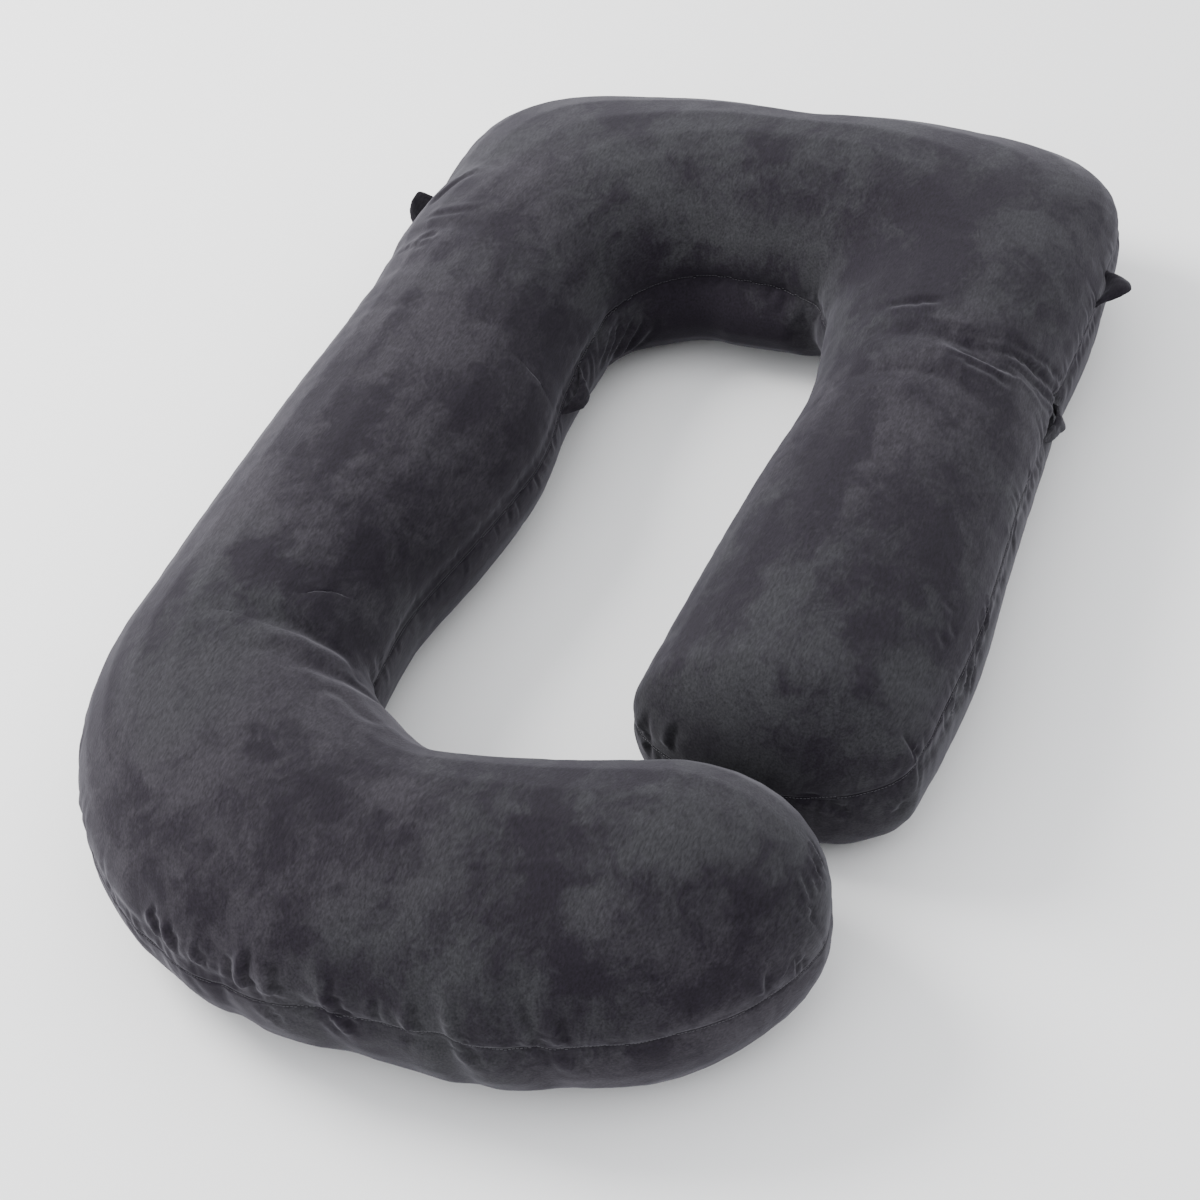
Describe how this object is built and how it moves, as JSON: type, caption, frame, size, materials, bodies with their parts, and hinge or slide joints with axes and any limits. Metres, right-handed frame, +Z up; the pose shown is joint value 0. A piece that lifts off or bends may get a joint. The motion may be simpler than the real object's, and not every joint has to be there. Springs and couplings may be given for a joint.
{
  "type": "body pillow",
  "caption": "Full-length body pillow: one filled velvet tube curved into a closing G, with small loop tabs sewn into its side seam.",
  "frame": {"origin": "on the resting surface, under the middle of the outline seen from above", "axes": "+Y from the curved foot to the head, +Z up from the surface, +X towards the shorter arm"},
  "size_m": [0.8425, 1.4249, 0.207],
  "materials": {
    "velvet": "matt short pile",
    "velvet_strip": "matt short pile"
  },
  "bodies": {
    "root": {"pillow": "velvet", "loop_tab_right_upper": "velvet_strip", "loop_tab_right_lower": "velvet_strip", "loop_tab_left_upper": "velvet_strip", "loop_tab_inner_left": "velvet_strip"}
  },
  "joints": []
}
